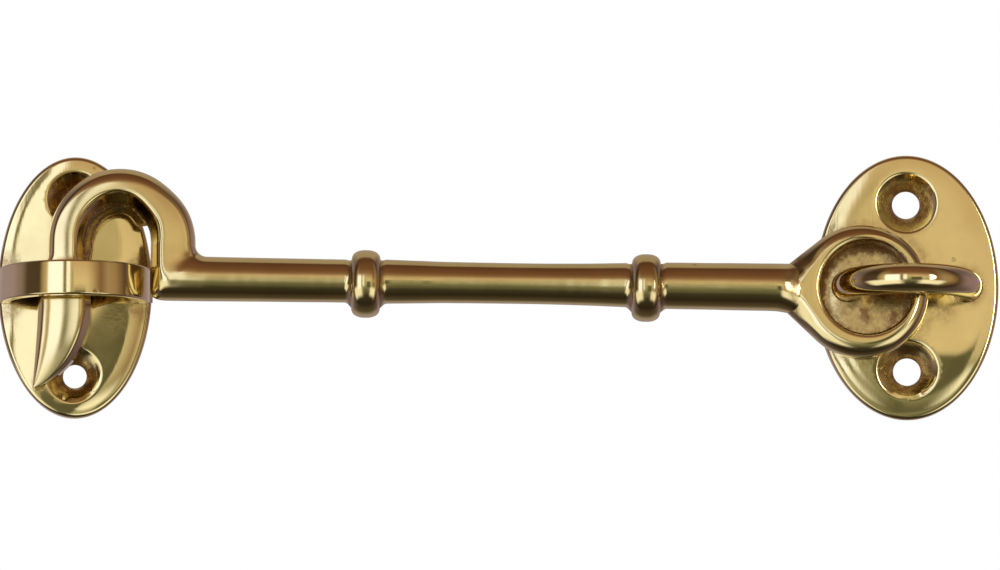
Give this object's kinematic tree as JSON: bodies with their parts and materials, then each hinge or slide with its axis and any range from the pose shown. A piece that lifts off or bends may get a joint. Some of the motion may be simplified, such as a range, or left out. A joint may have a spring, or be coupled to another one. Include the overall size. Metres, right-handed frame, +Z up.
{
  "type": "cabin hook latch",
  "caption": "Polished brass cabin hook: a beaded hook arm with a gooseneck claw lifts on a staple riveted to an oval plate and drops into a strap on a second oval plate.",
  "frame": {"origin": "centre of the pivot plate's flat back, which lies on the surface that it is screwed to", "axes": "+X along the latch from the catch plate to the pivot plate, +Y into the surface behind the plates, +Z up"},
  "size_m": [0.1527, 0.0149, 0.0406],
  "materials": {
    "plate_brass": "polished",
    "staple_brass": "polished",
    "hook_brass": "polished"
  },
  "bodies": {
    "mounting": {"pivot_plate": "plate_brass", "pivot_staple": "staple_brass", "catch_plate": "plate_brass", "catch_strap": "staple_brass"},
    "hook": {"hook_arm": "hook_brass"}
  },
  "joints": [
    {"name": "hook_lift", "type": "hinge", "parent": "mounting", "child": "hook", "pos_m": [-0.0063, -0.00715, -0.0009], "axis": [0, 1, 0], "range_deg": [-3.2, 148]}
  ]
}
